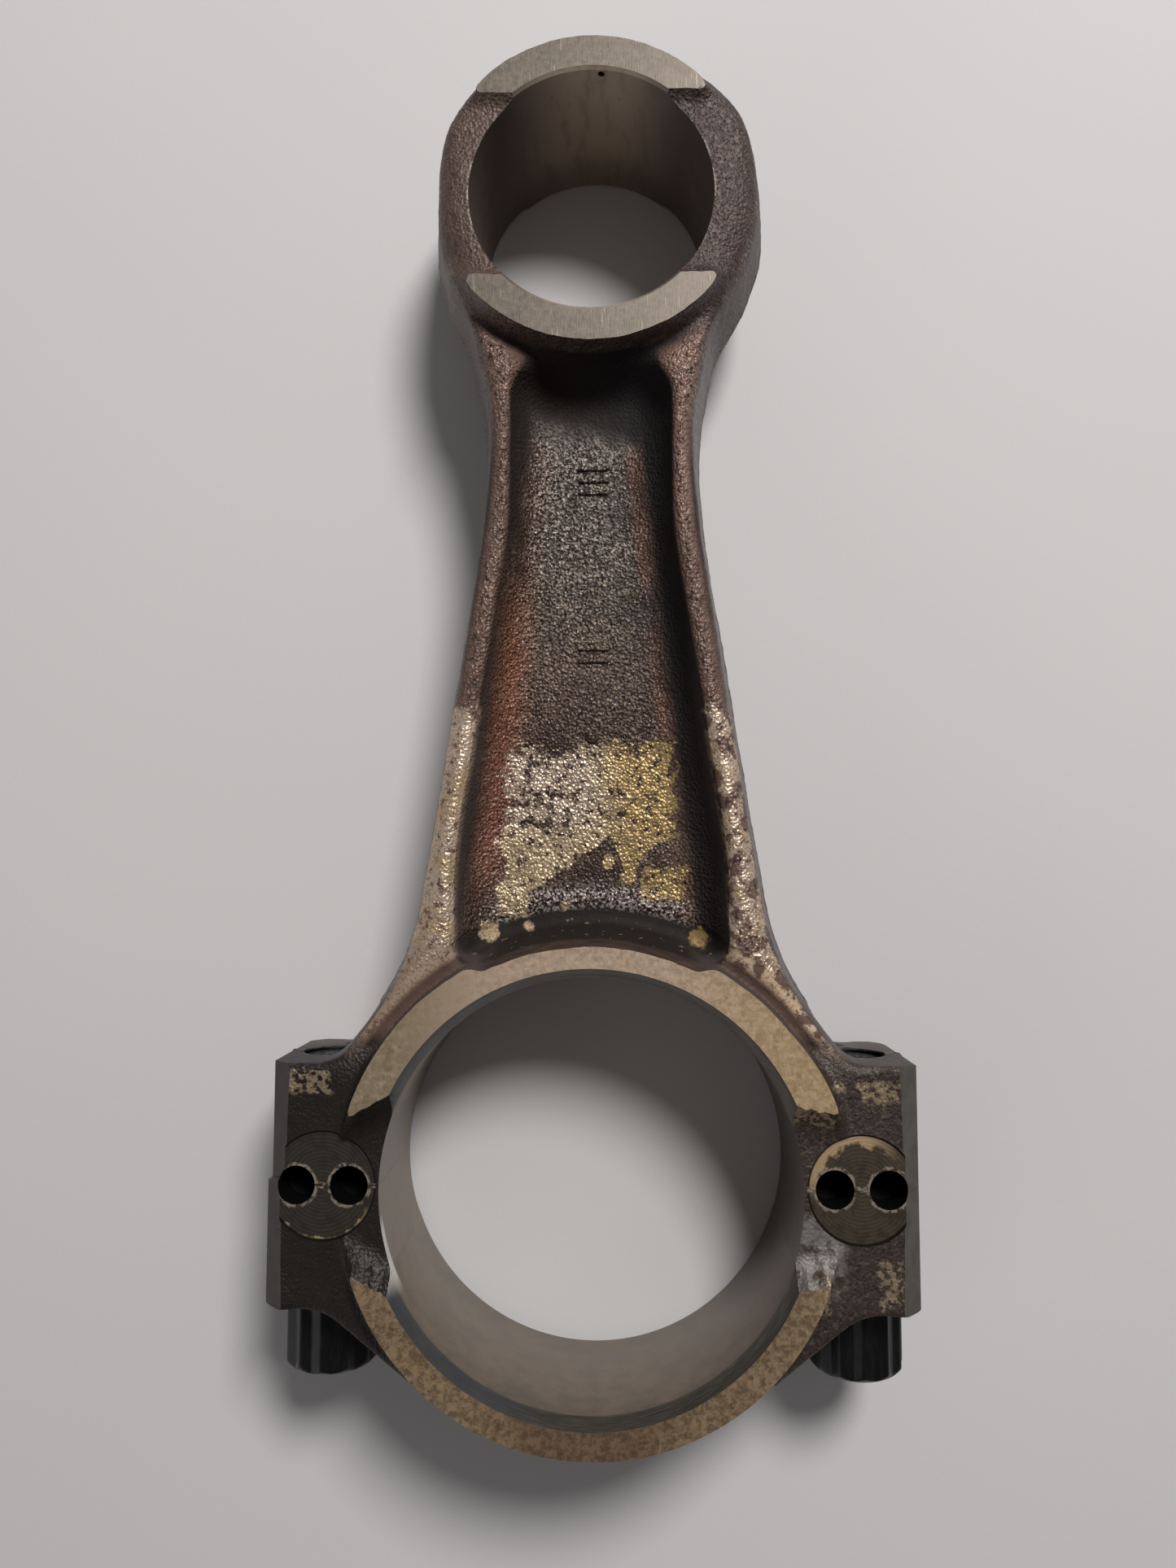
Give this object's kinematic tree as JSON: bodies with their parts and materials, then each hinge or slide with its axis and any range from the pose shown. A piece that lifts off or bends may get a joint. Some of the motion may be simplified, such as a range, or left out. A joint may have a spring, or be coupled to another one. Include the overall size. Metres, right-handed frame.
{
  "type": "connecting rod",
  "caption": "Forged steel I-beam connecting rod with a fracture-split big-end cap held by twelve-point bolts and a plain small-end eye.",
  "frame": {"origin": "centre of the big-end bore, halfway through its thickness", "axes": "+Z along both bores, +Y from the big end to the small end, +X to the right shoulder"},
  "size_m": [0.0738, 0.166, 0.0234],
  "materials": {
    "forged_steel": "as-forged dark brown skin, ground and bored faces satin grey",
    "black_oxide_steel": "black oxide, semi-gloss"
  },
  "bodies": {
    "rod": {"connecting_rod": "forged_steel"},
    "cap": {"big_end_cap": "forged_steel"},
    "left_bolt": {"left_cap_bolt": "black_oxide_steel"},
    "right_bolt": {"right_cap_bolt": "black_oxide_steel"}
  },
  "joints": [
    {"name": "cap_slide", "type": "slide", "parent": "rod", "child": "cap", "axis": [0, -1, 0], "range_m": [0, 0.03]},
    {"name": "left_bolt_slide", "type": "slide", "parent": "cap", "child": "left_bolt", "axis": [0, -1, 0], "range_m": [0, 0.028]},
    {"name": "right_bolt_slide", "type": "slide", "parent": "cap", "child": "right_bolt", "axis": [0, -1, 0], "range_m": [0, 0.028]}
  ]
}
